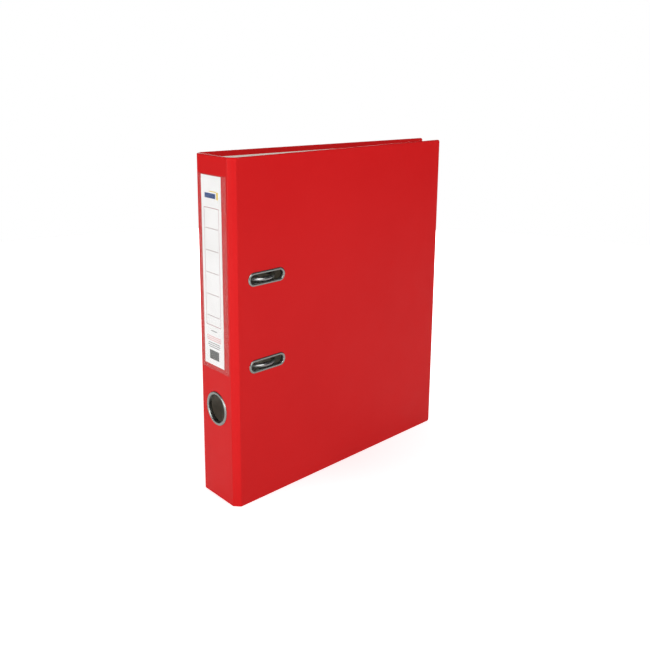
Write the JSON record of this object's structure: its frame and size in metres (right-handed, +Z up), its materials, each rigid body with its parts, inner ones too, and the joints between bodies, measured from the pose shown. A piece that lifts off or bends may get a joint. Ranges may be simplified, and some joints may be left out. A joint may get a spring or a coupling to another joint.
{
  "type": "lever arch file",
  "caption": "Narrow upright lever arch file with bevelled spine edges, label pocket, finger ring, slotted front cover and a hinged ring mechanism inside.",
  "frame": {"origin": "middle of the bottom of the closed, standing file", "axes": "+Z up along the spine, the spine faces -Y, the front cover is at +X and the back cover with the ring mechanism at -X"},
  "size_m": [0.0588, 0.286, 0.318],
  "materials": {
    "grey_board": "raw grey board",
    "red_foil": "fine-grained satin foil",
    "lining_paper": "matt paper",
    "zinc_steel": "bright zinc",
    "nickel_steel": "nickel plate",
    "ring_metal": "satin nickel",
    "spring_steel": "oiled spring wire",
    "clear_film": "clear film",
    "label_paper": "white card",
    "grip_plastic": "moulded black plastic"
  },
  "bodies": {
    "case_back": {"back_cover_board": "grey_board", "back_cover_foil": "red_foil", "back_cover_lining": "lining_paper", "base_plate": "zinc_steel", "plate_rivets": "nickel_steel", "lower_post": "nickel_steel", "upper_post": "nickel_steel", "lever_pin": "nickel_steel", "arch_spring": "spring_steel"},
    "rear_hinge": {"rear_hinge_board": "grey_board", "rear_hinge_foil": "red_foil", "rear_hinge_lining": "lining_paper"},
    "spine": {"spine_board": "grey_board", "spine_foil": "red_foil", "spine_lining": "lining_paper", "finger_ring": "ring_metal", "finger_ring_washer": "ring_metal", "label_pocket": "clear_film"},
    "front_hinge": {"front_hinge_board": "grey_board", "front_hinge_foil": "red_foil", "front_hinge_lining": "lining_paper"},
    "front_cover": {"front_cover_board": "grey_board", "front_cover_foil": "red_foil", "front_cover_lining": "lining_paper", "lower_slot_eyelet": "ring_metal", "upper_slot_eyelet": "ring_metal", "lower_slot_washer": "ring_metal", "upper_slot_washer": "ring_metal"},
    "label": {"label_card": "label_paper"},
    "arches": {"arch_wire": "nickel_steel"},
    "lever": {"lever": "nickel_steel", "roller_pin": "nickel_steel", "lever_grip": "grip_plastic"},
    "roller": {"roller": "grip_plastic"},
    "compressor": {"compressor_bar": "zinc_steel", "compressor_clips": "spring_steel"}
  },
  "joints": [
    {"name": "rear_cover_crease", "type": "hinge", "parent": "case_back", "child": "rear_hinge", "pos_m": [-0.02862, -0.13649, 0.159], "axis": [0, 0, -1], "range_deg": [0, 45]},
    {"name": "rear_spine_crease", "type": "hinge", "parent": "rear_hinge", "child": "spine", "pos_m": [-0.0231, -0.14201, 0.159], "axis": [0, 0, -1], "range_deg": [0, 45]},
    {"name": "front_spine_crease", "type": "hinge", "parent": "spine", "child": "front_hinge", "pos_m": [0.0239, -0.14201, 0.159], "axis": [0, 0, -1], "range_deg": [0, 45]},
    {"name": "front_cover_crease", "type": "hinge", "parent": "front_hinge", "child": "front_cover", "pos_m": [0.02942, -0.13649, 0.159], "axis": [0, 0, -1], "range_deg": [0, 51]},
    {"name": "lever_pivot", "type": "hinge", "parent": "case_back", "child": "lever", "pos_m": [-0.01602, -0.11191, 0.1925], "axis": [0, -1, 0], "range_deg": [0, 90]},
    {"name": "arch_shaft", "type": "hinge", "parent": "case_back", "child": "arches", "pos_m": [-0.02172, -0.12241, 0.1695], "axis": [0, 0, -1], "range_deg": [0, 52]},
    {"name": "roller_spin", "type": "hinge", "parent": "lever", "child": "roller", "pos_m": [-0.01602, -0.11191, 0.1815], "axis": [0, 1, 0], "continuous": true},
    {"name": "compressor_slide", "type": "slide", "parent": "case_back", "child": "compressor", "axis": [1, 0, 0], "range_m": [0, 0.018]},
    {"name": "label_slide", "type": "slide", "parent": "spine", "child": "label", "axis": [0, 0, 1], "range_m": [0, 0.18]}
  ],
  "couplings": [
    {"joint": "rear_spine_crease", "follows": "rear_cover_crease", "ratio": 1},
    {"joint": "lever_pivot", "follows": "rear_cover_crease", "ratio": 2},
    {"joint": "arch_shaft", "follows": "rear_cover_crease", "ratio": 1.155},
    {"joint": "front_cover_crease", "follows": "front_spine_crease", "ratio": 1.1333}
  ]
}
